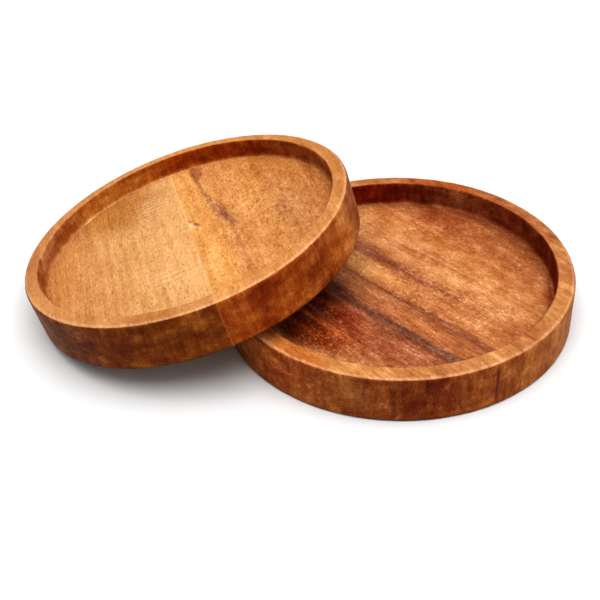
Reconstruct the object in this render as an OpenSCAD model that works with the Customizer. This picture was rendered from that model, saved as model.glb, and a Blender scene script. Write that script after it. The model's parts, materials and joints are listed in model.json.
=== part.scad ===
// A pair of round wooden drink coasters, each turned from two boards glued edge to edge.
// One lies flat on the table. The other leans on it: its foot stands on the table and
// its underside rests on the flat coaster's rim.
// The origin is the middle of the flat coaster's underside, and +Z points up.
// +X points to the right of someone who looks along +Y at the pair.

/* [Flat coaster] */
// Outside diameter of the coaster that lies flat
flat_d = 100; // [90:0.5:115]
// Height of the flat coaster, from its underside to the crest of its rim
flat_h = 14.5; // [13:0.1:20]
// Thickness of the flat coaster's upright wall
flat_wall = 5.1; // [3.5:0.1:7]
// Depth of the flat coaster's recess, from the crest of the rim to the floor
flat_recess = 7.2; // [5:0.1:9]
// Angle from +X to the way that the flat coaster's glue line faces
flat_joint_angle = 40; // [0:1:180]
// How far the flat coaster's glue line passes from its centre
flat_joint_shift = -4.7; // [-20:0.1:20]

/* [Leaning coaster] */
// Outside diameter of the coaster that leans
lean_d = 98; // [90:0.5:115]
// Height of the leaning coaster, from its underside to the crest of its rim
lean_h = 14.7; // [13:0.1:20]
// Thickness of the leaning coaster's upright wall
lean_wall = 4.6; // [3.5:0.1:7]
// Depth of the leaning coaster's recess, from the crest of the rim to the floor
lean_recess = 5.7; // [4.5:0.1:9]
// Angle from +X to the way that the leaning coaster's glue line faces
lean_joint_angle = 13.5; // [0:0.5:180]
// How far the leaning coaster's glue line passes from its centre
lean_joint_shift = 0.6; // [-20:0.1:20]

/* [Turned edges] */
// Radius of the worn outer edge on top of the rim
outer_edge_r = 1.2; // [0.5:0.1:1.6]
// Radius of the inner edge on top of the rim
inner_edge_r = 0.5; // [0.3:0.1:0.9]
// Radius of the edge round the underside
foot_edge_r = 0.8; // [0.4:0.1:1.5]
// Radius of the corner between the recess floor and the wall
floor_corner_r = 0.9; // [0.4:0.1:2]
// How much the top of the rim falls from its crest to the outer edge
rim_fall = 0.4; // [0:0.05:0.8]

/* [Glue] */
// Thickness of the dark glue film in the flat coaster
flat_glue_t = 0.2; // [0.1:0.05:0.6]
// Thickness of the pale glue film in the leaning coaster
lean_glue_t = 0.35; // [0.1:0.05:0.6]

/* [How the pair stands] */
// Angle from +X to the line from the flat coaster to the leaning one
lean_angle = 169.7; // [90:0.1:270]
// Distance on the table from the flat coaster's rim to the leaning coaster's foot
foot_out = 55; // [50:0.5:75]
// Clearance between the leaning coaster's underside and the flat coaster's rim
rest_clear = 0.2; // [0.1:0.05:0.5]

/* [Hidden] */

// Straight steps in each rounded corner of the turned outline
corner_steps = 8;
// Facets round a turned coaster
round_steps = 144;
// How far every cutting block runs past the wood
overrun = foot_edge_r;

// Points along an arc, from one angle to another
function arc(centre, radius, from_a, to_a) = [
    for (i = [0 : corner_steps])
        let (a = from_a + (to_a - from_a) * i / corner_steps)
        centre + radius * [cos(a), sin(a)]
];

// Angle at which the top of the rim falls outwards
function rim_angle(wall) = atan(rim_fall / wall);

// Centre of the rounding on the inner edge of the rim
function inner_centre(d, h, wall) = [d / 2 - wall + inner_edge_r, h - inner_edge_r];

// Centre of the rounding on the outer edge of the rim, tangent to the falling top
function outer_centre(d, h, wall) =
    let (
        angle = rim_angle(wall),
        inner = inner_centre(d, h, wall),
        r = d / 2 - outer_edge_r,
        drop = (outer_edge_r - inner_edge_r + (r - inner[0]) * sin(angle)) / cos(angle)
    )
    [r, inner[1] - drop];

// Half section of a turned coaster: distance from the axis, and height
function section(d, h, wall, recess) =
    let (
        top_a = 90 - rim_angle(wall),
        floor_z = h - recess,
        foot = [d / 2 - foot_edge_r, foot_edge_r],
        corner = [d / 2 - wall - floor_corner_r, floor_z + floor_corner_r]
    )
    concat(
        [[0, 0]],
        arc(foot, foot_edge_r, -90, 0),
        arc(outer_centre(d, h, wall), outer_edge_r, 0, top_a),
        arc(inner_centre(d, h, wall), inner_edge_r, top_a, 180),
        arc(corner, floor_corner_r, 0, -90),
        [[0, floor_z]]
    );

// Middle of the rounding that the leaning coaster touches, and the middle of its own foot edge
rest_centre = outer_centre(flat_d, flat_h, flat_wall);
foot_centre = [flat_d / 2 + foot_out, foot_edge_r];

// Tilt at which the foot stands on the table and the underside clears the rim
rest_run = foot_centre[0] - rest_centre[0];
rest_rise = rest_centre[1] - foot_centre[1];
rest_gap = outer_edge_r + foot_edge_r + rest_clear;
tilt = atan2(rest_rise, rest_run) + asin(rest_gap / norm([rest_run, rest_rise]));

// Middle of the leaning coaster's underside: out from the flat coaster's axis, and height
foot_reach = lean_d / 2 - foot_edge_r;
lean_out = foot_centre[0] - foot_reach * cos(tilt) - foot_edge_r * sin(tilt);
lean_up = foot_centre[1] + foot_reach * sin(tilt) - foot_edge_r * cos(tilt);

module turned(d, h, wall, recess) {
    rotate_extrude($fn = round_steps)
        polygon(section(d, h, wall, recess));
}

// The slice of a coaster that lies between two distances along the direction its glue line faces
module slice(angle, near, far, d, h) {
    intersection() {
        children();
        rotate([0, 0, angle])
            translate([near, -d / 2 - overrun, -overrun])
                cube([far - near, d + 2 * overrun, h + 2 * overrun]);
    }
}

module flat_slice(near, far) {
    slice(flat_joint_angle, near, far, flat_d, flat_h)
        turned(flat_d, flat_h, flat_wall, flat_recess);
}

module lean_slice(near, far) {
    rotate([0, 0, lean_angle])
        translate([lean_out, 0, lean_up])
            rotate([0, tilt, 0])
                rotate([0, 0, -lean_angle])
                    slice(lean_joint_angle, near, far, lean_d, lean_h)
                        turned(lean_d, lean_h, lean_wall, lean_recess);
}

// Red-brown board with the dark vein, in front of the flat coaster's glue line
module flat_front_board() {
    color("#9c4d20")
        flat_slice(-flat_d / 2 - overrun, flat_joint_shift - flat_glue_t / 2);
}

// Golden-brown board behind the flat coaster's glue line
module flat_back_board() {
    color("#b5692c")
        flat_slice(flat_joint_shift + flat_glue_t / 2, flat_d / 2 + overrun);
}

// Film of set glue between the flat coaster's boards
module flat_glue_line() {
    color("#5e3018")
        flat_slice(flat_joint_shift - flat_glue_t / 2, flat_joint_shift + flat_glue_t / 2);
}

// Pale tan board on the left of the leaning coaster
module leaning_left_board() {
    color("#c68a49")
        lean_slice(-lean_d / 2 - overrun, lean_joint_shift - lean_glue_t / 2);
}

// Orange, swirled board on the right of the leaning coaster
module leaning_right_board() {
    color("#bb6f2f")
        lean_slice(lean_joint_shift + lean_glue_t / 2, lean_d / 2 + overrun);
}

// Pale film of set glue between the leaning coaster's boards
module leaning_glue_line() {
    color("#dcb27c")
        lean_slice(lean_joint_shift - lean_glue_t / 2, lean_joint_shift + lean_glue_t / 2);
}

flat_front_board();
flat_back_board();
flat_glue_line();
leaning_left_board();
leaning_right_board();
leaning_glue_line();
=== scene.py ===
"""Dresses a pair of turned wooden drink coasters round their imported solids.

One coaster lies flat on the table and the other leans on its rim. Each is turned from two boards that are
glued edge to edge, so a coaster is made of two boards and the film of glue between them. A board's mesh is
the turned outline swept round and cut at its joint, worn a little by hand. Its wood is solid: colour,
pores and figure follow the board's own grain through floor, rim and walls.

Shapes are worked out in millimetres and set down in metres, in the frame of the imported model.
"""

from __future__ import annotations

import json
import logging
import math
from dataclasses import dataclass, field
from enum import Enum
from typing import Any, Union

import bmesh
import bpy
from mathutils import Matrix, Vector, noise

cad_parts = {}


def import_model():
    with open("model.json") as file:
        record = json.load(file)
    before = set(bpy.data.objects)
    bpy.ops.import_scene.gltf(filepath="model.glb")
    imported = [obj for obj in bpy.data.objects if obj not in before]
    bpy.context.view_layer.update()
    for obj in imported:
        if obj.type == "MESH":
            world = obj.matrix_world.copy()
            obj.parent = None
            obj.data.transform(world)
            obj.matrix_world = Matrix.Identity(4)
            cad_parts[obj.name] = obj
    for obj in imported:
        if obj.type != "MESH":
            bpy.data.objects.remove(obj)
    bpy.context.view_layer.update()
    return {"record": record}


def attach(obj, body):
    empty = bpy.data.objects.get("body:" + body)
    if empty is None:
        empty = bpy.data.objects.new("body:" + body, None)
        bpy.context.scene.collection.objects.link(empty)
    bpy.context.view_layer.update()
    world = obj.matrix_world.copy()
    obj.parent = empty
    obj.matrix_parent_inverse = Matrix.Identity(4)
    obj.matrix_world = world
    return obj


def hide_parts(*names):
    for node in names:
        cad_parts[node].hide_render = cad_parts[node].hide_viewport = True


MM = 0.001
PHOTO_SIDE = 600
SENSOR_MM = 36.0
# Bands and streaks are placed within this distance of the coaster's axis, in millimetres
REACH = 60.0
LOG = logging.getLogger("coasters")

Pair = tuple[float, float]
Size = tuple[float, float, float]
Colour = tuple[float, float, float, float]
# A node stands for its first output
Feed = Union[bpy.types.Node, bpy.types.NodeSocket]
# A cover, a plain share, no limit, or a border: what is measured, and where it starts and is complete
Limit = Union[Feed, float, None, tuple[Feed, float, float]]


def linear(hex_colour: str) -> Colour:
    """Turn an sRGB hex colour into a linear one.

    Args:
        hex_colour: Six hex digits with a leading hash sign.

    Returns:
        Linear red, green and blue, and full opacity.
    """
    low_end, slope, offset, power = 0.04045, 12.92, 0.055, 2.4
    channels = []
    for start in (1, 3, 5):
        value = int(hex_colour[start:start + 2], 16) / 255
        if value <= low_end:
            channels.append(value / slope)
        else:
            channels.append(((value + offset) / (1 + offset)) ** power)
    return channels[0], channels[1], channels[2], 1.0


def add(tree: bpy.types.NodeTree, kind: str, inputs: dict | None = None, **settings: Any) -> bpy.types.Node:
    """Add a shader node with its settings, its input values and its links.

    Args:
        tree: Node tree that takes the node.
        kind: Blender's name for the kind of node, without the words ShaderNode.
        inputs: Input name or number, with the value, the node or the output socket that feeds it.
        settings: Properties of the node itself.

    Returns:
        The new node.
    """
    node = tree.nodes.new(f"ShaderNode{kind}")
    for name, value in settings.items():
        setattr(node, name, value)
    for key, value in (inputs or {}).items():
        if isinstance(value, bpy.types.Node):
            value = value.outputs[0]
        if isinstance(value, bpy.types.NodeSocket):
            tree.links.new(value, node.inputs[key])
        else:
            node.inputs[key].default_value = value
    return node


def set_stops(ramp: bpy.types.ColorRamp, way: str, stops: list[tuple[float, Colour]]) -> None:
    """Give a colour ramp its stops.

    Args:
        ramp: Colour ramp as Blender makes it, with two stops.
        way: How the colour goes from stop to stop.
        stops: Position and colour of each stop, in order.
    """
    ramp.interpolation = way
    for index, (position, colour) in enumerate(stops):
        stop = ramp.elements[index] if index < len(ramp.elements) else ramp.elements.new(position)
        stop.position, stop.color = position, colour


def stand(name: str, data: bpy.types.ID) -> bpy.types.Object:
    """Put a mesh, a light or a camera into the scene.

    Args:
        name: Name of the new object.
        data: What it shows.

    Returns:
        The new object.
    """
    thing = bpy.data.objects.new(name, data)
    bpy.context.scene.collection.objects.link(thing)
    return thing


def keep_mesh(name: str, mesh: bmesh.types.BMesh) -> bpy.types.Mesh:
    """Turn a mesh that was worked on into one that an object can show.

    Args:
        name: Name of the kept mesh.
        mesh: Mesh that was worked on, which is freed.

    Returns:
        The kept mesh.
    """
    data = bpy.data.meshes.new(name)
    mesh.to_mesh(data)
    mesh.free()
    return data


def bare_material(name: str) -> bpy.types.Material:
    """Make a material with an empty node tree.

    Args:
        name: Name of the real material.

    Returns:
        The new material.
    """
    material = bpy.data.materials.new(name)
    material.use_nodes = True
    material.node_tree.nodes.clear()
    return material


class Zone(Enum):
    """Part of a coaster's surface that oil, painted shade and marks keep to."""

    ANYWHERE = "anywhere"
    FLOOR = "floor of the recess"
    CORNER = "floor near its wall"
    INNER_WALL = "wall of the recess"
    RIM = "rim"
    RIM_EDGE = "rim's outer edge"
    OUTER_WALL = "outer wall"
    WALLS = "both walls"
    FOOT = "foot of the outer wall"
    UNDERSIDE = "underside"


class Grid(Enum):
    """Flat measure that a mark is placed in, always in millimetres."""

    BOARD = "across the board and along it"
    GRAIN = "across the board and along it, swaying with the grain"
    ROUND = "along the turned wall from the right-hand side, and up from the underside"


@dataclass(frozen=True)
class Outline:
    """Half section of a turned coaster, in millimetres from its axis and its underside."""

    diameter: float
    height: float
    wall: float
    recess: float
    outer_edge: float = 1.2
    inner_edge: float = 0.5
    foot_edge: float = 0.8
    floor_corner: float = 0.9
    rim_fall: float = 0.4
    longest_step: float = 0.9
    corner_steps: int = 8
    round_steps: int = 288

    @property
    def radius(self) -> float:
        """Outside radius."""
        return self.diameter / 2

    @property
    def recess_radius(self) -> float:
        """Radius of the upright wall of the recess."""
        return self.radius - self.wall

    @property
    def floor(self) -> float:
        """Height of the recess floor."""
        return self.height - self.recess

    def arc(self, middle: Pair, radius: float, start: float, end: float) -> list[Pair]:
        """Points along a rounded corner.

        Args:
            middle: Centre of the rounding.
            radius: Radius of the rounding.
            start: First angle, in radians.
            end: Last angle, in radians.

        Returns:
            Points from the first angle to the last.
        """
        angles = [start + (end - start) * step / self.corner_steps for step in range(self.corner_steps + 1)]
        return [(middle[0] + radius * math.cos(a), middle[1] + radius * math.sin(a)) for a in angles]

    def corners(self) -> list[Pair]:
        """The outline's points as the solids have them.

        Returns:
            Points from the middle of the underside, round the rim, to the middle of the floor.
        """
        quarter = math.pi / 2
        fall = math.atan(self.rim_fall / self.wall)
        inner = (self.recess_radius + self.inner_edge, self.height - self.inner_edge)
        outer_across = self.radius - self.outer_edge
        drop = self.outer_edge - self.inner_edge + (outer_across - inner[0]) * math.sin(fall)
        outer = (outer_across, inner[1] - drop / math.cos(fall))
        foot = (self.radius - self.foot_edge, self.foot_edge)
        corner = (self.recess_radius - self.floor_corner, self.floor + self.floor_corner)
        return [
            (0.0, 0.0),
            *self.arc(foot, self.foot_edge, -quarter, 0.0),
            *self.arc(outer, self.outer_edge, 0.0, quarter - fall),
            *self.arc(inner, self.inner_edge, quarter - fall, math.pi),
            *self.arc(corner, self.floor_corner, 0.0, -quarter),
            (0.0, self.floor),
        ]

    def rings(self) -> list[Pair]:
        """The outline with its long stretches divided, for wear to have points to move.

        Returns:
            Points in the order of the corners.
        """
        corners = self.corners()
        points = [corners[0]]
        for before, after in zip(corners, corners[1:]):
            steps = max(1, math.ceil(math.dist(before, after) / self.longest_step))
            for step in range(1, steps + 1):
                share = step / steps
                points.append((
                    before[0] + (after[0] - before[0]) * share,
                    before[1] + (after[1] - before[1]) * share,
                ))
        return points

    def turn(self) -> bmesh.types.BMesh:
        """Sweep the outline once round its axis.

        Returns:
            A closed mesh in millimetres, with the coaster's own axis as Z.
        """
        mesh = bmesh.new()
        rings = self.rings()
        first, last = mesh.verts.new((0.0, 0.0, rings[0][1])), mesh.verts.new((0.0, 0.0, rings[-1][1]))
        columns = []
        for step in range(self.round_steps):
            angle = 2 * math.pi * step / self.round_steps
            across, along = math.cos(angle), math.sin(angle)
            columns.append([mesh.verts.new((r * across, r * along, z)) for r, z in rings[1:-1]])
        for here, there in zip(columns, columns[1:] + columns[:1]):
            mesh.faces.new((first, there[0], here[0]))
            for low in range(len(here) - 1):
                mesh.faces.new((here[low], there[low], there[low + 1], here[low + 1]))
            mesh.faces.new((here[-1], there[-1], last))
        bmesh.ops.recalc_face_normals(mesh, faces=mesh.faces)
        return mesh


@dataclass(frozen=True)
class HandWear:
    """Unevenness that turning, sanding by hand and use leave in the wood, in millimetres.

    Every point moves into the wood and none moves out of it, so the worn coaster stays inside its solid.
    """

    seed: float
    swell: float = 0.12
    swell_wave: float = 16.0
    nick: float = 0.10
    nick_wave: float = 2.6
    facing_down: float = -0.9

    def work(self, mesh: bmesh.types.BMesh, outline: Outline, sunk: float = 0.0) -> None:
        """Wear the walls and the rim of a turned mesh.

        Args:
            mesh: Turned mesh, which is changed.
            outline: Outline that the mesh was turned from.
            sunk: How far the whole surface but the underside lies under the wood's.
        """
        mesh.normal_update()
        moved = []
        for vert in mesh.verts:
            place = vert.co
            if vert.normal.z < self.facing_down:
                continue
            depth = sunk
            if math.hypot(place.x, place.y) > outline.recess_radius - outline.floor_corner:
                lifted = Vector((place.x, place.y, place.z + self.seed))
                depth += self.swell * (1 + noise.noise(lifted / self.swell_wave)) / 2
                depth += self.nick * max(0.0, noise.noise(lifted / self.nick_wave))
            moved.append((vert, place - vert.normal * depth))
        for vert, place in moved:
            vert.co = place


@dataclass(frozen=True)
class Placing:
    """Where a coaster stands: the middle of its underside in millimetres, and the way its axis points."""

    foot: Vector
    up: Vector

    @classmethod
    def from_mount(cls, record: dict, name: str) -> Placing:
        """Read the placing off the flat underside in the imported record.

        Args:
            record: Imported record.
            name: Name of the mount that is the coaster's underside.

        Returns:
            The placing of that coaster.
        """
        mount = next(mount for mount in record["mounts"] if mount["name"] == name)
        return cls(Vector(mount["pos_m"]) / MM, -Vector(mount["axis"]))

    def turned(self) -> Matrix:
        """The smallest turn that takes +Z to the coaster's axis."""
        return Vector((0.0, 0.0, 1.0)).rotation_difference(self.up).to_matrix()

    def to_world(self) -> Matrix:
        """The matrix from the coaster's own millimetres to the frame's metres."""
        return Matrix.Scale(MM, 4) @ Matrix.Translation(self.foot) @ self.turned().to_4x4()


@dataclass(frozen=True)
class Joint:
    """Straight glue line across a coaster: the way it faces in degrees, and its place and thickness in mm."""

    angle: float
    shift: float
    thickness: float
    nearest: float = 1e-6

    @property
    def facing(self) -> Vector:
        """Direction across the joint, in the coaster's own place."""
        return Vector((math.cos(math.radians(self.angle)), math.sin(math.radians(self.angle)), 0.0))

    def saw(self, mesh: bmesh.types.BMesh, near: float | None, far: float | None) -> None:
        """Keep what lies between two distances along the way the joint faces, and close the sawn faces.

        Args:
            mesh: Turned mesh in millimetres, which is changed.
            near: Distance that the kept part starts at, or None for no cut there.
            far: Distance that it ends at, or None for no cut there.
        """
        for distance, keep_beyond in ((near, True), (far, False)):
            if distance is None:
                continue
            everything = mesh.verts[:] + mesh.edges[:] + mesh.faces[:]
            cut = bmesh.ops.bisect_plane(
                mesh, geom=everything, dist=self.nearest, plane_co=self.facing * distance,
                plane_no=self.facing, clear_inner=keep_beyond, clear_outer=not keep_beyond,
            )
            edges = [item for item in cut["geom_cut"] if isinstance(item, bmesh.types.BMEdge)]
            outward = -self.facing if keep_beyond else self.facing
            bmesh.ops.triangle_fill(mesh, use_beauty=True, use_dissolve=False, edges=edges, normal=outward)
        bmesh.ops.recalc_face_normals(mesh, faces=mesh.faces)


@dataclass
class Bench:
    """Node tree of one piece's material, with the measures that its marks are drawn in.

    The tree measures the piece in its own millimetres, so colour and grain stay with it wherever it moves.
    Wood is end grain where its surface faces along the board: from the first facing to the second, it goes
    from the first share of end grain to the second. The end-grain colour also lays painted shade on the
    walls.
    """

    tree: bpy.types.NodeTree
    outline: Outline
    placing: Placing
    joint: Joint
    seed: float
    # The rim's wood reaches over its two rounded edges, as far as wear can move the walls
    over_inner_edge: float = 0.35
    over_outer_edge: float = 0.4
    blur: float = 0.08
    # Walls facing across the board still take the first share of the end-grain colour, which paints shade on
    # them
    end_facing: Pair = (0.1, 0.85)
    end_share: Pair = (0.6, 1.0)
    grids: dict[Grid, Feed] = field(default_factory=dict)
    zones: dict[Zone, Feed] = field(default_factory=dict)
    end_grain: dict[Zone, Feed] = field(default_factory=dict)

    def within(self, *limits: Limit) -> Feed:
        """Where all of some limits hold.

        Args:
            limits: The limits, of any kind.

        Returns:
            Cover from nothing to one.
        """
        covers = []
        for limit in limits:
            if isinstance(limit, tuple):
                measured, start, end = limit
                limit = add(self.tree, "MapRange", {
                    "Value": measured, "From Min": start, "From Max": end,
                }, interpolation_type="SMOOTHSTEP")
            if limit is not None:
                covers.append(limit)
        shared = covers[0]
        for cover in covers[1:]:
            shared = add(self.tree, "Math", {0: shared, 1: cover}, operation="MULTIPLY")
        return shared

    def grain(
        self, size: Size, detail: float, rough: float = 0.5, grid: Grid = Grid.GRAIN, swirl: float = 0.0,
    ) -> Feed:
        """Uneven wood, drawn out to a size in millimetres across the board, along the grain and through it.

        Args:
            size: Size of one blotch across, along and through.
            detail: How many finer layers it has.
            rough: How strong the finer layers are.
            grid: Measure that the size is given in.
            swirl: How far the blotches curl round each other.

        Returns:
            Feed from nothing to one, mostly near a half.
        """
        spread = add(self.tree, "Mapping", {
            "Vector": self.grids[grid],
            "Location": (self.seed, self.seed, self.seed),
            "Scale": tuple(1 / length for length in size),
        })
        return add(self.tree, "TexNoise", {
            "Vector": spread, "Scale": 1.0, "Detail": detail, "Roughness": rough, "Distortion": swirl,
        })

    def lay_out(self) -> None:
        """Measure the piece: its grids, its zones and its end grain."""
        turned_back = self.placing.turned().transposed()
        place = add(self.tree, "TexCoord")
        own = add(self.tree, "Mapping", {
            "Vector": place.outputs["Object"],
            "Location": -(turned_back @ self.placing.foot),
            "Rotation": turned_back.to_euler(),
            "Scale": (1 / MM, 1 / MM, 1 / MM),
        })
        self.lay_boards(own)
        self.lay_zones(own)
        self.lay_ends(place.outputs["Normal"])

    def lay_boards(self, own: Feed) -> None:
        """Lay the two grids that run with the board.

        Args:
            own: Place in the coaster's own millimetres.
        """
        straight = add(self.tree, "Mapping", {
            "Vector": own, "Rotation": (0.0, 0.0, -math.radians(self.joint.angle)),
        })
        # Every edge on a board is ragged by 0.3 mm, and its grain sways 1 mm to either side over some 20 mm
        for grid, waves_per_mm, sway in (
            (Grid.BOARD, (0.9, 0.35, 0.6), (0.9, 0.6, 0.9)),
            (Grid.GRAIN, (0.06, 0.035, 0.06), (2.6, 1.5, 2.6)),
        ):
            moved = add(self.tree, "Mapping", {
                "Vector": straight, "Location": (self.seed, 0.0, 0.0), "Scale": waves_per_mm,
            })
            wander = add(self.tree, "TexNoise", {
                "Vector": moved, "Scale": 1.0, "Detail": 2.5, "Roughness": 0.45,
            })
            shift = add(self.tree, "VectorMath", {
                0: wander.outputs["Color"], 1: sway, 2: tuple(-length / 2 for length in sway),
            }, operation="MULTIPLY_ADD")
            self.grids[grid] = add(self.tree, "VectorMath", {0: straight, 1: shift}, operation="ADD")

    def lay_zones(self, own: Feed) -> None:
        """Lay the grid that runs round the wall, and the zones.

        Args:
            own: Place in the coaster's own millimetres.
        """
        tree, outline, blur = self.tree, self.outline, self.blur
        split = add(tree, "SeparateXYZ", {0: own})
        height = split.outputs["Z"]
        sideways = add(tree, "CombineXYZ", {"X": split.outputs["X"], "Y": split.outputs["Y"]})
        reach = add(tree, "VectorMath", {0: sideways}, operation="LENGTH").outputs["Value"]
        angle = add(tree, "Math", {0: split.outputs["Y"], 1: split.outputs["X"]}, operation="ARCTAN2")
        around = add(tree, "Math", {0: angle, 1: outline.radius}, operation="MULTIPLY")
        self.grids[Grid.ROUND] = add(tree, "CombineXYZ", {"X": around, "Y": height})

        recess, floor = outline.recess_radius, outline.floor
        inner, outer = recess + self.over_inner_edge, outline.radius - self.over_outer_edge
        rim = (
            (reach, inner - blur, inner + blur),
            (reach, outer + blur, outer - blur),
            (height, floor + 0.6, floor + 1.8),
        )
        # Borders of each zone, with their places in millimetres
        borders = {
            Zone.FLOOR: ((reach, recess - 0.2, recess - 0.9),),
            Zone.CORNER: ((reach, recess - 5.0, recess - 0.8), (reach, recess - 0.2, recess - 0.9)),
            Zone.INNER_WALL: (
                (reach, recess - 0.9, recess - 0.2),
                (reach, inner + blur, inner - blur),
                (height, floor - 2.0, floor - 1.0),
            ),
            Zone.RIM: rim,
            Zone.RIM_EDGE: ((reach, outer - 0.9, outer - 0.4), *rim),
            Zone.OUTER_WALL: ((reach, outer - blur, outer + blur),),
            Zone.FOOT: ((height, 1.0, 0.1), (reach, outline.radius - 2.4, outline.radius - 1.0)),
            Zone.UNDERSIDE: ((height, 0.25, 0.05),),
        }
        for zone, sides in borders.items():
            self.zones[zone] = self.within(*sides)
        self.zones[Zone.WALLS] = add(tree, "Math", {
            0: self.zones[Zone.INNER_WALL], 1: self.zones[Zone.OUTER_WALL],
        }, operation="ADD")

    def lay_ends(self, normal: Feed) -> None:
        """Find how far each wall is end grain.

        Args:
            normal: The way that the surface faces.
        """
        turn = Matrix.Rotation(math.radians(self.joint.angle), 3, "Z")
        along = self.placing.turned() @ turn @ Vector((0.0, 1.0, 0.0))
        facing = add(self.tree, "VectorMath", {0: normal, 1: along}, operation="DOT_PRODUCT").outputs["Value"]
        ends = add(self.tree, "MapRange", {
            "Value": add(self.tree, "Math", {0: facing}, operation="ABSOLUTE"),
            "From Min": self.end_facing[0], "From Max": self.end_facing[1],
            "To Min": self.end_share[0], "To Max": self.end_share[1],
        }, interpolation_type="SMOOTHSTEP")
        for zone in (Zone.INNER_WALL, Zone.OUTER_WALL):
            self.end_grain[zone] = self.within(ends, self.zones[zone])


@dataclass(frozen=True)
class Spot:
    """Oval patch of another colour with a soft edge.

    Its place and half its width and length are in millimetres, and it leans by degrees. Its colour is even up
    to the core, a share of the way from its middle to its edge. It goes right through the board.
    """

    colour: str
    at: Pair
    half: Pair
    strength: float
    zone: Zone = Zone.FLOOR
    lean: float = 0.0
    core: float = 0.1
    depth: float = 1e6

    @property
    def grid(self) -> Grid:
        """Marks on a wall are placed round it, and all others on the board."""
        return Grid.ROUND if self.zone in (Zone.INNER_WALL, Zone.OUTER_WALL) else Grid.BOARD

    def pattern(self, bench: Bench, placed: Feed, distance: Feed) -> Feed | None:
        """What the patch is broken up by, which is nothing for a plain one."""
        return None

    def cover(self, bench: Bench) -> Feed:
        """How much of the patch's colour lies on each point.

        Args:
            bench: Bench of the piece that takes the patch.

        Returns:
            Cover from nothing to the patch's strength.
        """
        placed = add(bench.tree, "Mapping", {
            "Vector": bench.grids[self.grid],
            "Location": (*self.at, 0.0),
            "Rotation": (0.0, 0.0, math.radians(self.lean)),
            "Scale": (*self.half, self.depth),
        }, vector_type="TEXTURE")
        distance = add(bench.tree, "VectorMath", {0: placed}, operation="LENGTH").outputs["Value"]
        pattern = self.pattern(bench, placed, distance)
        return bench.within((distance, 1.0, self.core), self.strength, pattern, bench.zones.get(self.zone))


@dataclass(frozen=True)
class Ripple(Spot):
    """Patch of curl: bands across the grain, one wave length apart."""

    wave: float = 3.0
    bend: float = 2.2
    bend_scale: float = 1.2

    def pattern(self, bench: Bench, placed: Feed, distance: Feed) -> Feed | None:
        """Bands across the patch: nothing between them, and one on them."""
        return add(bench.tree, "TexWave", {
            "Vector": placed, "Scale": self.half[1] / self.wave / math.pi,
            "Distortion": self.bend, "Detail Scale": self.bend_scale,
        }, bands_direction="Y").outputs["Fac"]


@dataclass(frozen=True)
class Eye(Spot):
    """Patch of swirled grain: rings round its middle."""

    rings: float = 2.0

    def pattern(self, bench: Bench, placed: Feed, distance: Feed) -> Feed | None:
        """Rings round the patch's middle: nothing between them, and one on them."""
        turns = add(bench.tree, "Math", {0: distance, 1: math.tau * self.rings}, operation="MULTIPLY")
        return bench.within((add(bench.tree, "Math", {0: turns}, operation="COSINE"), -1.0, 1.0))


@dataclass(frozen=True)
class Specks(Spot):
    """Patch of scattered specks, each as large as its grain: across, along and through the board."""

    grain: Size = (0.6, 1.0, 0.8)
    detail: float = 1.5
    swirl: float = 0.6
    shows_from: float = 0.54
    full_from: float = 0.68

    def pattern(self, bench: Bench, placed: Feed, distance: Feed) -> Feed | None:
        """Specks in the patch: nothing between them, and one on them."""
        uneven = bench.grain(self.grain, self.detail, swirl=self.swirl)
        return bench.within((uneven, self.shows_from, self.full_from))


@dataclass(frozen=True)
class Streak:
    """Band or line of another colour that runs along the floor's grain.

    Each point of its path is a place along the grain, the place across the board, half its width there, and
    its strength, with places and widths in millimetres.
    """

    colour: str
    path: tuple[tuple[float, float, float, float], ...]
    core: float = 0.0
    broken: float = 0.0
    widest: float = 20.0
    break_size: Size = (1.6, 3.4, 2.0)

    def cover(self, bench: Bench) -> Feed:
        """How much of the streak's colour lies on each point.

        Args:
            bench: Bench of the piece that takes the streak.

        Returns:
            Cover from nothing to the streak's strength.
        """
        tree = bench.tree
        split = add(tree, "SeparateXYZ", {0: bench.grids[Grid.BOARD]})
        share = add(tree, "MapRange", {"Value": split.outputs["Y"], "From Min": -REACH, "From Max": REACH})
        course = add(tree, "ValToRGB", {"Fac": share})
        set_stops(course.color_ramp, "CARDINAL", [
            (0.5 + along / REACH / 2, (0.5 + across / REACH / 2, half / self.widest, strength, 1.0))
            for along, across, half, strength in self.path
        ])
        across, width, strength = add(tree, "SeparateColor", {0: course}).outputs
        middle = add(tree, "MapRange", {"Value": across, "To Min": -REACH, "To Max": REACH})
        away = add(tree, "Math", {0: split.outputs["X"], 1: middle}, operation="SUBTRACT")
        distance = add(tree, "Math", {
            0: add(tree, "Math", {0: away}, operation="ABSOLUTE"),
            1: add(tree, "Math", {0: width, 1: self.widest}, operation="MULTIPLY"),
        }, operation="DIVIDE")
        whole = add(tree, "MapRange", {
            "Value": bench.grain(self.break_size, detail=3.0, rough=0.6), "From Min": 0.42, "From Max": 0.56,
            "To Min": 1 - self.broken,
        }) if self.broken else None
        return bench.within((distance, 1.0, self.core), strength, whole, bench.zones[Zone.FLOOR])


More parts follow.
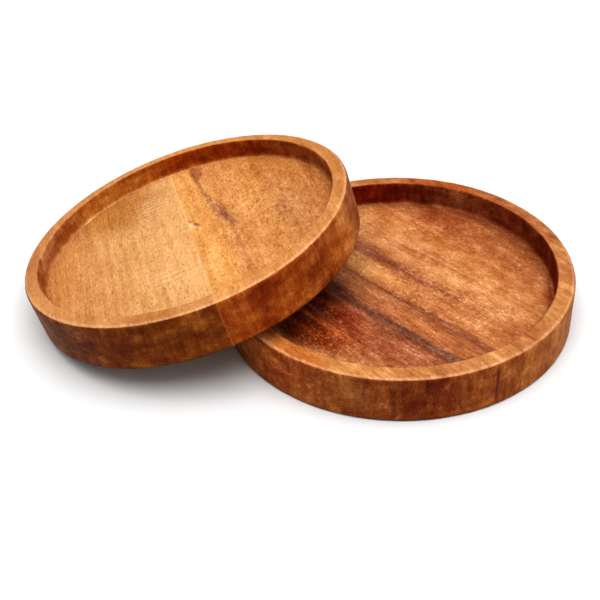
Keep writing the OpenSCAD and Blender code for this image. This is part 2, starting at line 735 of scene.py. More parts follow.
@dataclass(frozen=True, kw_only=True)
class Finish:
    """What every finish has: marks in its colour, and a surface that takes the light."""

    name: str
    seed: float
    marks: tuple[Spot | Streak, ...] = ()
    gloss: float = 0.03
    ior: float
    bump: float
    bump_strength: float

    def lay_over(self, bench: Bench, colour: Feed, layers: list[tuple[tuple, str, str]]) -> Feed:
        """Lay colours over each other.

        Args:
            bench: Bench of the piece.
            colour: Colour underneath.
            layers: Limits that a layer lies within, its colour, and how that takes to what is underneath.

        Returns:
            Feed with the colour.
        """
        for limits, hue, blend in layers:
            colour = add(bench.tree, "MixRGB", {
                "Fac": bench.within(*limits), "Color1": colour, "Color2": linear(hue),
            }, blend_type=blend)
        return colour

    def drawn_marks(self, bench: Bench) -> list[tuple[tuple, str, str]]:
        """The marks as layers."""
        return [((mark.cover(bench),), mark.colour, "MIX") for mark in self.marks]

    def surface(self, bench: Bench, colour: Feed, height: Feed, roughness: Feed | float) -> None:
        """Close the material with its surface.

        Args:
            bench: Bench of the piece.
            colour: Colour of the surface.
            height: Height of its fine relief, from nothing to one.
            roughness: How dull it is.
        """
        tree = bench.tree
        relief = add(tree, "Bump", {"Height": height, "Strength": self.bump_strength, "Distance": self.bump})
        shader = add(tree, "BsdfPrincipled", {
            "Base Color": colour, "Roughness": roughness, "Normal": relief,
            "Specular IOR Level": self.gloss, "IOR": self.ior,
        })
        add(tree, "OutputMaterial", {"Surface": shader})


@dataclass(frozen=True, kw_only=True)
class OiledWood(Finish):
    """Close-grained hardwood, turned, sanded and oiled.

    To the eye it is a warm satin surface: bands of colour along the grain with short fine pores and pale
    flecks in them, much darker on the walls, where the oil has soaked into the ends of the fibres and where
    shade is painted in, and a soft sheen. The rim's outer edge is paler, partly with wear and partly with a
    painted highlight; painted shade lies in the floor's corner, along the foot of the wall and on the
    underside.
    Bands are places across the board, in millimetres, with their colours. Sizes are in millimetres, across
    the board, along its grain and through it.
    """

    bands: tuple[tuple[float, str], ...]
    ior: float = 1.5
    bump: float = 0.0001
    bump_strength: float = 0.8
    # In the pores and on the fibres
    roughness: Pair = (0.64, 0.46)
    # How much the fibres' unevenness raises the surface, and how high its lowest parts stand
    fibre_relief: Pair = (0.7, 0.15)
    pore: str = "#5a2c12"
    # Colours that the outer and inner walls are multiplied by: the darker end grain, and painted shade on the
    # walls
    end: str = "#ce9f76"
    inner_end_and_shade: str = "#ce9f76"
    rim: str = "#9c6133"
    # Paler worn wood on the rim's outer edge, partly a painted highlight
    worn: str = "#eab98a"
    # Colour of the painted shade in the floor's corner by its wall and along the foot of the outer wall
    painted_shade: str = "#2c1004"
    # Painted shade: the underside is multiplied darker, so that it throws less light into the shadow on the
    # table
    underside: str = "#b4a296"
    # How strongly each kind of figure shows, and how much of the finest ones is left off the floor
    growth: float = 0.40
    mottle: float = 0.40
    fibre: float = 0.45
    speckle: float = 0.30
    fleck: float = 0.12
    curl: float = 0.0
    cloud: float = 1.2
    rib: float = 0.3
    off_floor: float = 0.55
    contrast: float = 0.7
    pore_strength: float = 0.35
    rim_strength: float = 0.5
    # How strongly the paler wear and the painted highlight on the rim's outer edge show
    worn_and_glint_strength: float = 0.4
    # How strongly the painted shade shows along the foot and in the floor's corner
    foot_shade_strength: float = 0.8
    corner_shade_strength: float = 0.15
    # Growth lines are 1 to 3 mm apart
    growth_size: Size = (1.7, 38.0, 9.0)
    mottle_size: Size = (5.0, 9.0, 7.0)
    # Fibres are far finer than a pixel, so they are drawn as bundles 0.4 mm wide
    fibre_size: Size = (0.42, 1.9, 1.2)
    speckle_size: Size = (0.4, 0.6, 0.5)
    curl_size: Size = (1.5, 2.2, 2.0)
    # Pores are 0.1 mm wide, and are drawn three times as wide to show
    pore_size: Size = (1.1, 3.4, 1.6)
    pore_share: float = 0.3
    fleck_size: Size = (0.5, 1.0, 0.7)
    # Unevenness at which a fleck or a blotch of the painted corner shade begins, and at which it is complete
    fleck_span: Pair = (0.58, 0.70)
    blotch_span: Pair = (0.2, 0.7)
    # Oil soaks into the walls in clouds, and by ribs that stand 1 to 3 mm apart
    cloud_size: Size = (7.0, 4.5, 1.0)
    rib_size: Size = (1.5, 16.0, 1.0)

    def pores(self, bench: Bench) -> Feed:
        """Scattered short dashes along the grain.

        Args:
            bench: Bench of the piece.

        Returns:
            Cover from nothing to one on the dashes.
        """
        spread = add(bench.tree, "Mapping", {
            "Vector": bench.grids[Grid.GRAIN],
            "Location": (self.seed, self.seed, 0.0),
            "Scale": tuple(1 / length for length in self.pore_size),
        })
        cells = add(bench.tree, "TexVoronoi", {"Vector": spread, "Scale": 1.0})
        return bench.within((cells, self.pore_share, self.pore_share / 3))

    def banded(self, bench: Bench) -> Feed:
        """The board's broad bands of colour.

        Args:
            bench: Bench of the piece.

        Returns:
            Feed with the colour.
        """
        across = add(bench.tree, "SeparateXYZ", {0: bench.grids[Grid.GRAIN]})
        share = add(bench.tree, "MapRange", {"Value": across, "From Min": -REACH, "From Max": REACH})
        bands = add(bench.tree, "ValToRGB", {"Fac": share})
        set_stops(bands.color_ramp, "EASE", [
            (0.5 + place / REACH / 2, linear(colour)) for place, colour in self.bands
        ])
        return bands

    def figure(self, bench: Bench, fibre: Feed, mottle: Feed) -> Feed:
        """How much lighter or darker than its band each point is.

        Args:
            bench: Bench of the piece.
            fibre: Unevenness of the fibres.
            mottle: Unevenness of the broad mottle.

        Returns:
            Feed round nothing, higher where the wood is lighter.
        """
        tree, walls = bench.tree, bench.zones[Zone.WALLS]
        fine = add(tree, "MapRange", {"Value": bench.zones[Zone.FLOOR], "To Min": self.off_floor})
        flecks = bench.grain(self.fleck_size, detail=1.0)
        figure = bench.within((flecks, *self.fleck_span), self.fleck, fine)
        layers = [
            (bench.grain(self.growth_size, detail=3.0), self.growth, 1.0),
            (mottle, self.mottle, 1.0),
            (fibre, self.fibre, fine),
            (bench.grain(self.speckle_size, detail=1.0), self.speckle, fine),
            (bench.grain(self.cloud_size, detail=5.0, rough=0.62, grid=Grid.ROUND), self.cloud, walls),
            (bench.grain(self.rib_size, detail=4.0, rough=0.65, grid=Grid.ROUND), self.rib, walls),
        ]
        if self.curl:
            layers.append((bench.grain(self.curl_size, detail=2.0, swirl=1.6), self.curl, fine))
        for unevenness, strength, where in layers:
            swing = add(tree, "Math", {
                0: unevenness, 1: strength, 2: -strength / 2,
            }, operation="MULTIPLY_ADD")
            figure = add(tree, "Math", {0: swing, 1: where, 2: figure}, operation="MULTIPLY_ADD")
        return figure

    def material(self, bench: Bench, material: bpy.types.Material) -> None:
        """Finish a material as this wood.

        Args:
            bench: Bench of the piece.
            material: Material whose tree the bench holds.
        """
        tree, zones = bench.tree, bench.zones
        fibre = bench.grain(self.fibre_size, detail=2.0)
        mottle = bench.grain(self.mottle_size, detail=6.0, rough=0.62)
        figure, pore = self.figure(bench, fibre, mottle), self.pores(bench)
        colour = self.lay_over(bench, self.banded(bench), [
            ((zones[Zone.RIM], self.rim_strength), self.rim, "MIX"),
            *self.drawn_marks(bench),
            # Painted shade in the floor's corner by its wall, in blotches of the mottle
            ((zones[Zone.CORNER], (mottle, *self.blotch_span), self.corner_shade_strength), self.painted_shade, "MIX"),
            # The walls darken with the end grain and with painted shade
            ((bench.end_grain[Zone.OUTER_WALL],), self.end, "MULTIPLY"),
            ((bench.end_grain[Zone.INNER_WALL],), self.inner_end_and_shade, "MULTIPLY"),
            # Painted shade on the underside
            ((zones[Zone.UNDERSIDE],), self.underside, "MULTIPLY"),
            # Paler worn wood and a painted highlight along the rim's outer edge
            ((zones[Zone.RIM_EDGE], fibre, self.worn_and_glint_strength), self.worn, "MIX"),
            ((pore, self.pore_strength), self.pore, "MIX"),
        ])
        # Darker wood is also deeper in colour, and lighter wood paler
        deepness = add(tree, "Math", {0: 1.0, 1: figure}, operation="SUBTRACT")
        deep = add(tree, "Gamma", {"Color": colour, "Gamma": deepness})
        level = add(tree, "Math", {0: figure, 1: self.contrast, 2: 1.0}, operation="MULTIPLY_ADD")
        lit = add(tree, "VectorMath", {0: deep, 1: level}, operation="MULTIPLY")
        # Painted shade along the foot of the outer wall
        colour = self.lay_over(bench, lit, [((zones[Zone.FOOT], self.foot_shade_strength), self.painted_shade, "MIX")])
        steepness, base = self.fibre_relief
        fibres = add(tree, "Math", {0: fibre, 1: steepness, 2: base}, operation="MULTIPLY_ADD")
        height = add(tree, "Math", {0: fibres, 1: pore}, operation="SUBTRACT")
        dull, sleek = self.roughness
        roughness = add(tree, "MapRange", {"Value": height, "To Min": dull, "To Max": sleek})
        self.surface(bench, colour, height, roughness)
        material.diffuse_color = linear(self.bands[len(self.bands) // 2][1])


@dataclass(frozen=True, kw_only=True)
class SetGlue(Finish):
    """Set wood glue, planed flush with the boards.

    To the eye it is a hairline of one colour, slightly glossier than the wood, with specks where oil and dust
    have got in.
    """

    colour: str
    speck: str
    # Colour that the glue on the walls is multiplied by, darkening with the wood's end grain and its painted
    # shade
    end: str = "#ffffff"
    speck_size: Size = (1.4, 2.2, 1.4)
    speck_span: Pair = (0.45, 0.62)
    roughness: float = 0.5
    ior: float = 1.47
    bump: float = 0.00004
    bump_strength: float = 0.4

    def material(self, bench: Bench, material: bpy.types.Material) -> None:
        """Finish a material as this glue.

        Args:
            bench: Bench of the piece.
            material: Material whose tree the bench holds.
        """
        specks = bench.within((bench.grain(self.speck_size, detail=3.0), *self.speck_span))
        plain = add(bench.tree, "MixRGB", {
            "Fac": specks, "Color1": linear(self.colour), "Color2": linear(self.speck),
        })
        colour = self.lay_over(bench, plain, [
            *self.drawn_marks(bench),
            ((bench.zones[Zone.WALLS],), self.end, "MULTIPLY"),
        ])
        self.surface(bench, colour, specks, self.roughness)
        material.diffuse_color = linear(self.colour)


@dataclass(frozen=True, kw_only=True)
class Piece:
    """A board or a glue film: the solid it stands for, its slot, and its finish."""

    node: str
    slot: str
    finish: OiledWood | SetGlue


@dataclass(frozen=True, kw_only=True)
class Coaster:
    """Turned coaster of two boards with a film of glue between them."""

    body: str
    underside: str
    outline: Outline
    joint: Joint
    wear: HandWear
    near_board: Piece
    glue: Piece
    far_board: Piece
    glue_sunk: float = 0.0
    sharpest: float = 32.0

    def shape(self, near: float | None, far: float | None, sunk: float = 0.0) -> bmesh.types.BMesh:
        """Turn, wear and saw one piece.

        Args:
            near: Distance across the joint that the piece starts at, or None at the rim.
            far: Distance that it ends at, or None at the rim.
            sunk: How far its surface lies under its neighbours'.

        Returns:
            The piece in the coaster's own millimetres.
        """
        mesh = self.outline.turn()
        self.wear.work(mesh, self.outline, sunk)
        self.joint.saw(mesh, near, far)
        return mesh

    def place(self, piece: Piece, mesh: bmesh.types.BMesh, placing: Placing) -> bpy.types.Object:
        """Set a piece down in the frame and finish it.

        Args:
            piece: What the mesh is a piece of.
            mesh: The piece in the coaster's own millimetres.
            placing: Where the coaster stands.

        Returns:
            The finished piece.
        """
        mesh.transform(placing.to_world())
        data = keep_mesh(piece.node, mesh)
        data.shade_smooth()
        data.set_sharp_from_angle(angle=math.radians(self.sharpest))
        part = stand(f"{piece.node}_turned", data)
        material = bare_material(piece.finish.name)
        bench = Bench(material.node_tree, self.outline, placing, self.joint, piece.finish.seed)
        bench.lay_out()
        piece.finish.material(bench, material)
        data.materials.append(material)
        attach(part, self.body)
        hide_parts(piece.node)
        return part

    def build(self, record: dict) -> list[bpy.types.Object]:
        """Make the coaster's three pieces.

        Args:
            record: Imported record, which says where the coaster stands.

        Returns:
            The near board, the glue film and the far board.
        """
        placing = Placing.from_mount(record, self.underside)
        low, high = self.joint.shift - self.joint.thickness / 2, self.joint.shift + self.joint.thickness / 2
        return [
            self.place(self.near_board, self.shape(None, low), placing),
            self.place(self.glue, self.shape(low, high, self.glue_sunk), placing),
            self.place(self.far_board, self.shape(high, None), placing),
        ]


@dataclass(frozen=True)
class Table:
    """Plain table top of matt white card, square, with sizes in metres.

    To the eye it is one even pale tone, with a tooth too fine to see.
    """

    side: float = 6.0
    colour: str = "#d3d3d3"
    roughness: float = 0.85
    tooth_scale: float = 900.0
    tooth: float = 0.0001
    tooth_strength: float = 0.1

    def build(self) -> None:
        """Make the table top."""
        mesh = bmesh.new()
        bmesh.ops.create_grid(mesh, x_segments=2, y_segments=2, size=self.side / 2)
        top = stand("table_top", keep_mesh("table_top", mesh))
        material = bare_material("matt_white_card")
        bump = add(material.node_tree, "Bump", {
            "Height": add(material.node_tree, "TexNoise", {"Scale": self.tooth_scale, "Detail": 2.0}),
            "Strength": self.tooth_strength, "Distance": self.tooth,
        })
        shader = add(material.node_tree, "BsdfPrincipled", {
            "Base Color": linear(self.colour), "Roughness": self.roughness, "Normal": bump,
        })
        add(material.node_tree, "OutputMaterial", {"Surface": shader})
        top.data.materials.append(material)


@dataclass(frozen=True)
class Softbox:
    """Square soft light: where it hangs, what it points at and its side in metres, and its power in watts."""

    name: str
    at: Size
    aim: Size
    side: float
    power: float

    def build(self) -> None:
        """Hang the light."""
        data = bpy.data.lights.new(self.name, "AREA")
        data.shape = "SQUARE"
        data.size = self.side
        data.energy = self.power
        lamp = stand(self.name, data)
        lamp.location = self.at
        lamp.rotation_euler = (Vector(self.aim) - Vector(self.at)).to_track_quat("-Z", "Y").to_euler()


@dataclass(frozen=True)
class Camera:
    """Where the photograph was taken from. Lengths are in millimetres, angles in degrees."""

    aim: Size = (-28.2946, 4.5523, 0.0)
    distance: float = 317.067
    elevation: float = 36.91
    roll: float = -2.854
    focal_px: float = 1064.66
    sight_m: Pair = (0.01, 20.0)

    def build(self) -> None:
        """Set the camera up and make it the scene's."""
        rise, roll = math.radians(self.elevation), math.radians(self.roll)
        back = Vector((0.0, -math.cos(rise), math.sin(rise)))
        level, upward = Vector((1.0, 0.0, 0.0)), Vector((0.0, math.sin(rise), math.cos(rise)))
        right = level * math.cos(roll) + upward * math.sin(roll)
        up = upward * math.cos(roll) - level * math.sin(roll)
        data = bpy.data.cameras.new("photo_camera")
        data.sensor_width = SENSOR_MM
        data.lens = self.focal_px * SENSOR_MM / PHOTO_SIDE
        data.clip_start, data.clip_end = self.sight_m
        camera = stand("photo_camera", data)
        turned = Matrix((right, up, back)).transposed().to_4x4()
        camera.matrix_world = Matrix.Translation((Vector(self.aim) + back * self.distance) * MM) @ turned
        bpy.context.scene.camera = camera


@dataclass(frozen=True)
class Studio:
    """Plain soft studio light: softboxes, and a white tent all round.

    Each point of the tent is a height, from nothing at the horizon to one straight above, and its brightness.
    """

    boxes: tuple[Softbox, ...]
    tent: tuple[Pair, ...]

    def build(self) -> None:
        """Light the scene, and show light and colour as they are."""
        for box in self.boxes:
            box.build()
        world = bpy.data.worlds.new("white_tent")
        world.use_nodes = True
        tree = world.node_tree
        tree.nodes.clear()
        direction = add(tree, "SeparateXYZ", {0: add(tree, "TexCoord").outputs["Generated"]})
        brightness = add(tree, "ValToRGB", {"Fac": direction.outputs["Z"]})
        set_stops(brightness.color_ramp, "LINEAR", [
            (height, (level, level, level, 1.0)) for height, level in self.tent
        ])
        add(tree, "OutputWorld", {"Surface": add(tree, "Background", {"Color": brightness})})
        bpy.context.scene.world = world
        bpy.context.scene.view_settings.view_transform = "Standard"
        bpy.context.scene.view_settings.look = "None"


def leaning_coaster() -> Coaster:
    """The pair's upper coaster, of a pale tan board on the left and an orange, swirled one on the right.

    Returns:
        The coaster with its sizes, joint and finishes.
    """
    # Pale sapwood: calm tan bands, the lightest wood of the pair
    left = OiledWood(
        name="oiled_acacia_pale_sapwood",
        seed=3.0,
        bands=(
            (-49.0, "#a36330"), (-41.0, "#ad6f3a"), (-30.0, "#b57944"), (-15.0, "#bb844d"), (-5.0, "#c28c55"),
            (0.0, "#c28a51"),
        ),
        # Marks: colour, place, half the width and length, and strength
        marks=(
            Spot("#965624", (-16.0, -44.0), (22.0, 9.0), 0.6, Zone.RIM),
            # Partly the board's own darker wood, partly painted shade on the wall that faces away from the
            # right-hand light
            Spot("#82471d", (-118.0, 8.0), (26.0, 14.0), 0.7, Zone.OUTER_WALL),
            # Painted light: the inner wall made paler where it faces the right-hand light
            Spot("#e5c597", (116.0, 11.0), (22.0, 6.0), 0.95, Zone.INNER_WALL),
            Spot("#d8a674", (148.0, 13.0), (18.0, 6.0), 0.8, Zone.INNER_WALL),
            Specks(
                "#d09a62", (-128.0, 7.0), (40.0, 9.0), 0.35, Zone.OUTER_WALL, core=0.5, grain=(0.5, 0.9, 0.7),
            ),
            # Partly paler wood, partly a painted sheen, by the joint at the front of the floor
            Spot("#cb9860", (-3.0, -20.0), (12.0, 24.0), 0.5),
            Spot("#97591f", (-20.0, 32.0), (28.0, 20.0), 0.88),
            Ripple("#c99c6b", (-8.2, 25.6), (9.0, 11.0), 0.6, wave=2.0),
            Ripple("#d6a874", (-8.0, -18.5), (9.0, 8.0), 0.6, wave=2.4),
            Spot("#623213", (-13.0, 41.5), (2.6, 2.0), 0.45),
            Spot("#80491f", (-23.0, 37.0), (2.0, 3.0), 0.4),
            Spot("#95502a", (-47.0, 9.0), (3.0, 7.0), 0.6, Zone.RIM),
            Spot("#c38542", (-47.0, -14.0), (4.0, 8.0), 0.5, Zone.RIM),
            Spot("#934f23", (-21.0, -44.0), (3.0, 4.0), 0.5, Zone.RIM),
        ),
        # End grain darker on the walls, deepened by painted shade on the side away from the right-hand light
        end="#86561e",
        inner_end_and_shade="#b87a39",
        rim="#ad7040",
        rim_strength=0.7,
        mottle=0.3,
    )
    # Swirled heartwood: warm orange, broken up by dark dashes and the lighter ripples of its curl
    right = OiledWood(
        name="oiled_acacia_swirled_heartwood",
        seed=11.0,
        bands=(
            (0.0, "#c28544"), (7.0, "#c07e3f"), (12.0, "#b4723b"), (18.0, "#b7763e"), (23.0, "#b6763d"),
            (29.0, "#ac6d3b"), (36.0, "#ac6c39"), (46.0, "#a25e29"),
        ),
        # Marks: colour, place, half the width and length, and strength
        marks=(
            Spot("#a25a24", (-60.0, 9.0), (12.0, 8.0), 0.3, Zone.OUTER_WALL),
            # Painted light bounced up from the table: a paler band along the foot of the wall
            Spot("#d88a3c", (-60.0, 1.2), (10.0, 1.4), 0.5, Zone.OUTER_WALL),
            Spot("#a2581f", (40.0, 24.0), (5.0, 24.0), 0.5),
            Specks(
                "#d9a062", (-20.0, 8.0), (26.0, 8.0), 0.35, Zone.OUTER_WALL, core=0.5, grain=(0.5, 0.9, 0.7),
            ),
            Spot("#b46d30", (30.0, 26.0), (20.0, 24.0), 0.5),
            Spot("#cb8a44", (5.0, -24.0), (7.0, 22.0), 0.5),
            Spot("#a46027", (32.0, 30.0), (16.0, 18.0), 0.5),
            Spot("#ad774d", (30.0, -7.0), (7.0, 12.0), 0.35),
            Spot("#833d1c", (8.8, 38.0), (3.0, 7.0), 0.8, core=0.3),
            Streak("#79432b", (
                (-36.0, 11.9, 2.0, 0.10), (-17.0, 12.4, 2.2, 0.22), (-6.0, 13.2, 2.0, 0.30),
                (0.0, 12.6, 3.0, 0.6), (8.0, 10.9, 3.6, 0.75), (14.0, 10.0, 2.8, 0.7), (20.0, 8.8, 1.5, 0.65),
                (30.0, 8.0, 1.0, 0.65), (36.0, 7.8, 1.6, 0.6),
            )),
            Spot("#cb9556", (14.6, 4.6), (2.2, 4.0), 0.4),
            Spot("#dba878", (1.6, 5.2), (2.0, 3.2), 0.8, lean=14.0),
            Spot("#5e3418", (3.0, 4.9), (0.8, 2.9), 0.75, lean=24.0, core=0.3),
            Spot("#6a3c1e", (1.5, 7.6), (1.3, 0.7), 0.7),
            Eye("#75401c", (28.6, -5.0), (4.6, 7.6), 0.6, rings=2.0),
            Spot("#6a3a24", (11.4, 4.5), (2.2, 4.8), 0.6, lean=8.0),
            Spot("#6a3a24", (13.2, -2.0), (1.8, 3.2), 0.5, lean=16.0),
            Spot("#5c3018", (14.8, 6.6), (0.8, 2.4), 0.7, lean=-14.0),
            Spot("#5c3018", (14.3, 2.4), (0.8, 2.0), 0.6, lean=20.0),
            Spot("#6f3c19", (20.3, 3.0), (0.6, 1.8), 0.5, lean=-10.0),
            Spot("#6f3c19", (17.6, -5.0), (0.6, 1.9), 0.45, lean=12.0),
            Spot("#6f3c19", (26.5, 22.0), (0.8, 2.0), 0.4, lean=-20.0),
            Spot("#78411c", (9.2, -8.5), (1.0, 2.4), 0.5),
            Spot("#78411c", (9.0, -25.5), (0.8, 1.4), 0.5),
            Ripple("#d39554", (20.0, 4.0), (9.0, 14.0), 0.3, wave=3.4),
            # Painted light: the wall made paler and more golden where it turns towards the right-hand light
            Spot("#e3a555", (-20.0, 6.0), (15.0, 15.0), 0.9, Zone.OUTER_WALL),
            Ripple("#cb8d4f", (5.0, -24.0), (5.0, 16.0), 0.35, wave=2.6),
            Spot("#6c3818", (32.0, 4.0), (0.7, 2.2), 0.7, lean=16.0),
            Spot("#6c3818", (34.0, -14.0), (0.6, 2.0), 0.7, lean=-14.0),
            Spot("#6c3818", (18.0, 16.0), (0.6, 2.4), 0.6, lean=12.0),
            Specks("#854a1e", (30.0, -4.0), (16.0, 34.0), 0.42, core=0.4, grain=(1.1, 1.5, 1.2)),
            Specks("#dc9c58", (20.0, 2.0), (20.0, 36.0), 0.28, core=0.4, grain=(1.3, 1.9, 1.5)),
        ),
        end="#b0743d",
        inner_end_and_shade="#b36a2a",
        cloud=1.1,
        curl=0.45,
        rim="#b1763f",
    )
    return Coaster(
        body="leaning_coaster",
        underside="leaning_underside",
        outline=Outline(diameter=98.0, height=14.7, wall=4.6, recess=5.7),
        joint=Joint(angle=13.5, shift=0.6, thickness=0.35),
        wear=HandWear(seed=40.0),
        near_board=Piece(node="leaning_left_board", slot="leaning_left_wood", finish=left),
        # Clear-set glue: a light hairline from rim to rim
        glue=Piece(node="leaning_glue_line", slot="pale_glue", finish=SetGlue(
            name="set_glue_pale", seed=5.0, colour="#c8925a", speck="#bd8450", end="#b07a50", marks=(
                Spot("#dcae7c", (0.0, 26.0), (60.0, 24.0), 0.45, Zone.ANYWHERE, core=0.5),
            ),
        )),
        far_board=Piece(node="leaning_right_board", slot="leaning_right_wood", finish=right),
    )


def flat_coaster() -> Coaster:
    """The coaster on the table, of a red-brown board with a dark vein and a golden-brown one.

    Returns:
        The coaster with its sizes, joint and finishes.
    """
    # Red heartwood: a deep red-brown that turns to maroon at one side, where a painted shadow of the leaning
    # coaster darkens it further, with one dark vein
    front = OiledWood(
        name="oiled_acacia_red_heartwood",
        seed=23.0,
        bands=(
            (-50.0, "#aa6b2f"), (-38.0, "#a36533"), (-32.0, "#8e4f28"), (-24.0, "#8e4a2a"),
            (-16.0, "#894a2c"), (-11.0, "#91502e"), (-8.0, "#9e5d35"), (-5.5, "#91512e"),
        ),
        # Marks: colour, place, half the width and length, and strength
        marks=(
            # Dark maroon by the leaning coaster's edge: partly the board's deep red, partly a painted shadow
            # of the leaning coaster
            Spot("#7a250b", (-28.0, 3.0), (16.0, 18.0), 0.9, core=0.4),
            Spot("#330402", (-25.0, 13.0), (19.0, 14.0), 0.94, core=0.3),
            Spot("#2c0401", (-36.5, 6.0), (4.0, 9.0), 0.8),
            Spot("#561406", (-33.0, -3.0), (7.0, 13.0), 0.6),
            Spot("#360702", (-22.0, 5.0), (3.6, 9.0), 0.7),
            Spot("#a95f32", (-10.0, -20.0), (3.4, 24.0), 0.6),
            Spot("#71301b", (-21.0, -4.0), (4.0, 9.0), 0.5),
            Spot("#983f04", (-118.0, 8.0), (26.0, 16.0), 0.85, Zone.OUTER_WALL),
            # Painted light: the outer wall made paler towards the right-hand light
            Spot("#c8905d", (-57.0, 7.0), (16.0, 18.0), 0.85, Zone.OUTER_WALL, core=0.4),
            Streak("#b6440e", (
                (-16.0, -28.6, 0.8, 0.0), (-8.0, -28.2, 1.4, 0.35), (2.0, -27.8, 1.6, 0.6),
                (14.0, -27.0, 1.4, 0.4),
            ), broken=0.7),
            Streak("#ae4213", (
                (-8.0, -33.0, 1.0, 0.2), (0.0, -32.6, 1.4, 0.7), (6.0, -32.2, 1.2, 0.3),
            ), broken=0.7),
            Streak("#9c3910", (
                (-6.0, -21.0, 1.4, 0.1), (2.0, -20.6, 2.0, 0.7), (9.0, -20.4, 1.6, 0.5),
                (14.0, -20.4, 1.0, 0.2),
            ), broken=0.7),
            Streak("#652f19", (
                (-36.0, -24.6, 0.9, 0.3), (-14.0, -24.9, 0.9, 0.5), (6.0, -24.8, 1.2, 0.6),
                (14.0, -24.6, 1.2, 0.4),
            )),
            Streak("#4c1f14", (
                (-44.0, -13.0, 2.8, 0.65), (-34.0, -13.6, 3.0, 0.75), (-20.0, -14.2, 2.8, 0.75),
                (-8.0, -14.4, 2.5, 0.7), (4.0, -14.4, 2.5, 0.75), (14.0, -13.4, 2.8, 0.85),
            ), core=0.1),
            Streak("#5a3a28", (
                (-44.0, -12.8, 1.5, 0.5), (-34.0, -13.5, 1.7, 0.8), (-20.0, -14.2, 1.8, 0.75),
                (-8.0, -14.4, 1.6, 0.8), (4.0, -14.4, 1.5, 0.75), (14.0, -13.2, 1.4, 0.6),
            ), broken=0.5),
            Spot("#9f4c17", (-47.0, -10.0), (7.0, 20.0), 0.75, Zone.RIM),
            Spot("#a4501a", (-45.0, 3.0), (5.0, 9.0), 0.8, Zone.RIM),
            Spot("#7d3715", (-46.0, 2.0), (2.4, 4.0), 0.5, Zone.RIM),
            Spot("#c8914c", (-11.6, -45.6), (1.6, 4.6), 0.3, Zone.RIM, lean=14.0, core=0.5),
            Spot("#793d19", (-26.0, -40.0), (5.0, 3.0), 0.4, Zone.RIM),
            Specks("#a8451a", (-27.0, -2.0), (16.0, 14.0), 0.5, core=0.5),
            # Pale orange specks in the maroon: partly the wood's flecks, partly painted glints
            Specks("#cc7434", (-32.5, -4.0), (9.0, 11.0), 0.55, core=0.5, grain=(0.45, 0.8, 0.6)),
            Specks(
                "#c98a50", (-114.0, 9.0), (26.0, 9.0), 0.4, Zone.OUTER_WALL, core=0.5, grain=(0.5, 0.9, 0.7),
            ),
            Specks("#4a1808", (-26.0, -10.0), (20.0, 30.0), 0.5, core=0.5, grain=(0.5, 1.6, 1.0)),
            Spot("#4a1c08", (-56.6, 7.0), (0.7, 9.0), 0.55, Zone.OUTER_WALL),
            Spot("#4a1c08", (-54.2, 6.0), (0.5, 8.0), 0.5, Zone.OUTER_WALL),
            Spot("#4a1c08", (-76.0, 8.0), (0.8, 8.0), 0.45, Zone.OUTER_WALL),
            Spot("#4a1c08", (-84.5, 6.0), (1.0, 9.0), 0.45, Zone.OUTER_WALL),
            Spot("#4a1c08", (-92.0, 8.0), (0.7, 8.0), 0.4, Zone.OUTER_WALL),
            # Painted light bounced up from the table: a paler band along the foot of the wall
            Spot("#d8994e", (-68.0, 1.5), (14.0, 1.3), 0.5, Zone.OUTER_WALL),
        ),
        end="#ab773f",
        inner_end_and_shade="#a8603a",
        fleck=0.18,
        growth_size=(1.3, 16.0, 5.0),
        growth=0.5,
        mottle_size=(3.2, 6.5, 5.0),
        mottle=0.8,
        fibre=0.55,
        speckle=0.45,
        # Painted shade in the floor's corner
        corner_shade_strength=0.4,
        cloud=0.6,
        # Colour of the painted shade in the corner and along the foot
        painted_shade="#3a1005",
        rim="#b87a42",
    )
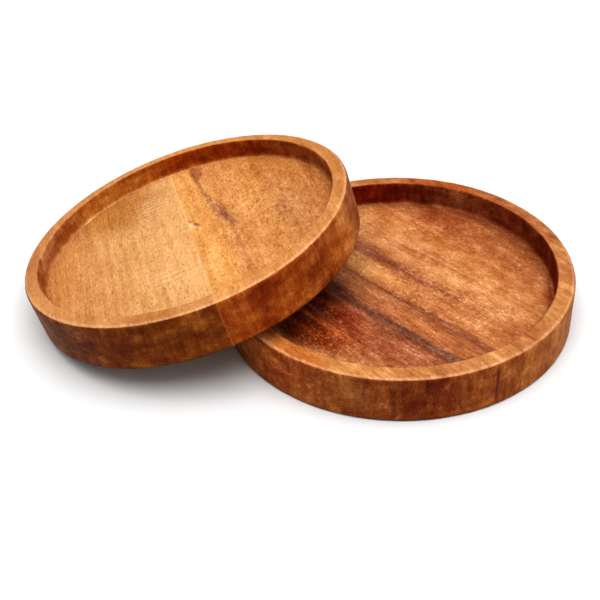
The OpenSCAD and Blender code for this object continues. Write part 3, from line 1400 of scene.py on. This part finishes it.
    # Golden heartwood: brown bands with a lighter, livelier grain between them
    back = OiledWood(
        name="oiled_acacia_golden_heartwood",
        seed=31.0,
        bands=(
            (-4.6, "#934f2c"), (-1.0, "#a35e32"), (8.0, "#9f5c31"), (15.0, "#ae6c3c"), (21.0, "#ac6937"),
            (27.0, "#a35e31"), (33.0, "#95522a"), (38.0, "#874721"), (44.0, "#844320"), (50.0, "#9a572e"),
        ),
        # Marks: colour, place, half the width and length, and strength
        marks=(
            # Painted light: the outer wall made paler where it turns towards the right-hand light
            Spot("#a86e46", (-37.0, 8.0), (26.0, 20.0), 0.9, Zone.OUTER_WALL, core=0.4),
            Spot("#8a3504", (43.0, 20.0), (17.0, 28.0), 0.75, Zone.RIM),
            Spot("#c48848", (51.0, 11.5), (6.0, 4.5), 0.75, Zone.INNER_WALL),
            # Painted shade: the inner wall darkened where it faces away from the light
            Spot("#650f01", (32.5, 9.5), (7.0, 9.0), 0.62, Zone.INNER_WALL),
            Spot("#c48848", (25.0, 11.5), (2.8, 3.6), 0.6, Zone.INNER_WALL),
            # Painted shade on the inner wall
            Spot("#6e280d", (10.0, 10.0), (14.0, 8.0), 0.5, Zone.INNER_WALL),
            Spot("#c07e43", (-0.5, 10.0), (5.5, 17.0), 0.8),
            Spot("#c88649", (0.5, 4.0), (2.6, 11.0), 0.5),
            Spot("#c0814c", (12.5, -6.0), (5.0, 11.0), 0.85),
            Spot("#c08149", (17.0, -20.0), (4.0, 9.0), 0.4),
            Spot("#9f5f35", (18.0, 8.0), (8.0, 16.0), 0.5),
            Spot("#a66239", (26.0, -26.0), (12.0, 9.0), 0.5),
            Ripple("#bc7f4c", (8.0, -27.0), (14.0, 12.0), 0.35, wave=1.8),
            Spot("#7e3417", (36.0, 14.0), (8.0, 24.0), 0.65),
            Streak("#5a2a1c", (
                (-42.0, -3.4, 2.4, 0.5), (-24.0, -3.8, 2.2, 0.5), (-10.0, -4.2, 1.8, 0.5),
                (0.0, -4.6, 0.9, 0.5), (30.0, -4.6, 0.4, 0.2),
            ), core=0.1),
            Streak("#783c2a", (
                (-22.0, 7.2, 1.2, 0.0), (-14.0, 6.8, 1.8, 0.8), (-4.0, 6.4, 2.0, 0.8), (4.5, 6.2, 2.8, 0.8),
                (14.0, 6.2, 3.6, 0.9), (24.0, 6.4, 4.0, 0.95), (44.0, 6.4, 4.2, 0.6),
            )),
            Streak("#824727", (
                (-30.0, 17.0, 0.8, 0.2), (-10.0, 16.8, 0.9, 0.4), (10.0, 15.8, 0.8, 0.4),
                (36.0, 12.0, 0.8, 0.3),
            )),
            Ripple("#c38952", (14.0, 31.0), (12.0, 9.0), 0.4, wave=2.6),
            Spot("#c8905a", (-1.6, -41.0), (1.0, 4.6), 0.2, Zone.RIM, lean=10.0, core=0.4),
            Spot("#6d3417", (0.9, -47.0), (0.5, 4.0), 0.7, Zone.RIM, core=0.3),
            Spot("#ac733e", (14.0, -44.0), (12.0, 6.0), 0.5, Zone.RIM),
            Spot("#b37844", (38.0, -28.0), (8.0, 10.0), 0.4, Zone.RIM),
            Spot("#894c27", (47.0, 5.0), (5.0, 12.0), 0.4, Zone.RIM),
            Spot("#782907", (28.0, -34.0), (3.0, 14.0), 0.75, lean=-50.0),
            Specks("#dc9f62", (0.5, 13.0), (5.5, 16.0), 0.55, core=0.4, grain=(0.6, 1.4, 0.9)),
            Specks("#5a2610", (4.0, -14.0), (15.0, 30.0), 0.5, core=0.4, grain=(0.5, 1.0, 0.8)),
            Specks("#c88e56", (6.0, -12.0), (16.0, 28.0), 0.5, core=0.4, grain=(0.6, 1.1, 0.9)),
        ),
        # Painted light: the outer wall, which faces the right-hand light, is multiplied lighter than the
        # front board's
        end="#e0bc72",
        # Painted shade: the inner wall multiplied darker and redder
        inner_end_and_shade="#a14425",
        fleck=0.2,
        growth_size=(1.3, 16.0, 5.0),
        growth=0.4,
        mottle_size=(4.0, 6.0, 5.0),
        mottle=0.9,
        fibre=0.4,
        speckle=0.3,
        # Painted shade in the floor's corner
        corner_shade_strength=0.6,
        cloud=0.8,
        # Colour of the painted shade in the corner and along the foot
        painted_shade="#3a1005",
    )
    return Coaster(
        body="flat_coaster",
        underside="flat_underside",
        outline=Outline(diameter=100.0, height=14.5, wall=5.1, recess=7.2),
        joint=Joint(angle=40.0, shift=-4.7, thickness=0.2),
        wear=HandWear(seed=0.0),
        near_board=Piece(node="flat_front_board", slot="flat_front_wood", finish=front),
        # Stained glue: a dark hairline, as fine as a pencil line
        glue=Piece(node="flat_glue_line", slot="dark_glue", finish=SetGlue(
            name="set_glue_stained_dark", seed=7.0, colour="#4a2818", speck="#6b3a20",
        )),
        far_board=Piece(node="flat_back_board", slot="flat_back_wood", finish=back),
        glue_sunk=0.04,
    )


def main() -> None:
    """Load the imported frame, build the pair, and set up the table, the lights and the camera."""
    logging.basicConfig(level=logging.INFO, format="%(name)s: %(message)s")
    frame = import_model()
    Camera().build()
    for coaster in (flat_coaster(), leaning_coaster()):
        for part in coaster.build(frame["record"]):
            finish, faces = part.data.materials[0].name, len(part.data.polygons)
            LOG.info("%s: %d faces in %s, riding on %s", part.name, faces, finish, coaster.body)
    Table().build()
    Studio(
        boxes=(
            Softbox("softbox_above", (-0.03, -0.2, 1.0), (-0.03, 0.0, 0.0), side=1.0, power=16.3),
            Softbox("softbox_right", (1.2, 0.0, 0.7), (0.0, 0.0, 0.0), side=0.8, power=4.8),
        ),
        tent=((0.0, 0.42), (0.1, 0.42), (0.15, 0.18), (0.6, 0.56)),
    ).build()


if __name__ == "__main__":
    main()
